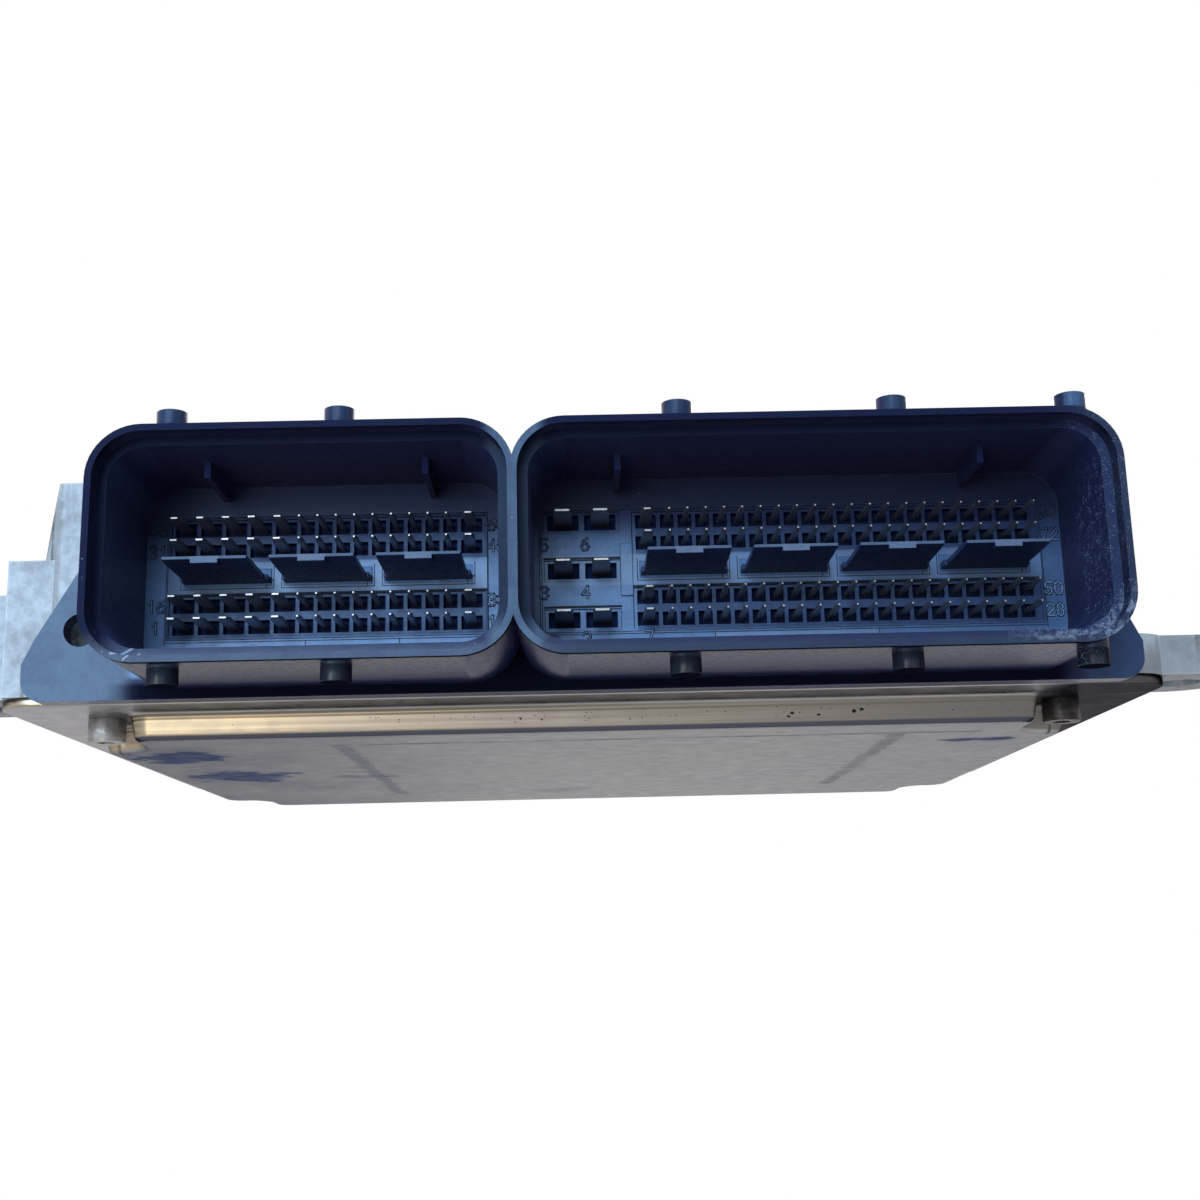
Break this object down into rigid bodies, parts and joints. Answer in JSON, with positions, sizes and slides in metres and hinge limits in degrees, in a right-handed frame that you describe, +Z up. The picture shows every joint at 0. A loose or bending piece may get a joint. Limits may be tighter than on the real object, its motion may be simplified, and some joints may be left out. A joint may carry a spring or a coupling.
{
  "type": "engine control unit",
  "caption": "Flat engine control unit: a finned die-cast housing on a pressed sheet cover, with a black plug header of rounded sockets full of pins along one edge.",
  "frame": {"origin": "middle of the bounding box, on the plane of the cover's flat", "axes": "+X along the plug edge, +Y from the sockets to the rear, +Z up from the cover"},
  "size_m": [0.188, 0.154, 0.0392],
  "materials": {
    "cast": "as cast, grey",
    "cover_sheet": "pressed sheet, warm tint",
    "header_plastic": "black, satin",
    "carrier_plastic": "black, satin",
    "guide_plastic": "black, satin",
    "pin_metal": "tin plated",
    "seal": "matte",
    "board": "green, satin",
    "chip": "black, matte",
    "can": "satin",
    "ferrite": "dark grey, matte",
    "crystal_can": "satin",
    "ceramic": "tan, satin",
    "pad": "grey, matte",
    "vent": "black, matte",
    "screw": "plated"
  },
  "bodies": {
    "root": {"housing": "cast", "cover": "cover_sheet", "connector_header": "header_plastic", "pin_carrier_60": "carrier_plastic", "pin_carrier_94": "carrier_plastic", "guide_blades_60": "guide_plastic", "guide_blades_94": "guide_plastic", "signal_pins_60": "pin_metal", "power_pins_60": "pin_metal", "signal_pins_94": "pin_metal", "sense_pins_94": "pin_metal", "supply_blades_94": "pin_metal", "header_seal": "seal", "cover_seal": "seal", "circuit_board": "board", "microcontroller": "chip", "flash_memory": "chip", "power_supply_ic": "chip", "driver_ics": "chip", "bus_transceivers": "chip", "switching_transistors": "chip", "boost_capacitors": "can", "power_inductor": "ferrite", "crystal": "crystal_can", "pressure_sensor": "chip", "ceramic_capacitors": "ceramic", "thermal_pads": "pad", "vent_cap": "vent", "cover_screws": "screw", "board_screws": "screw"}
  },
  "joints": []
}
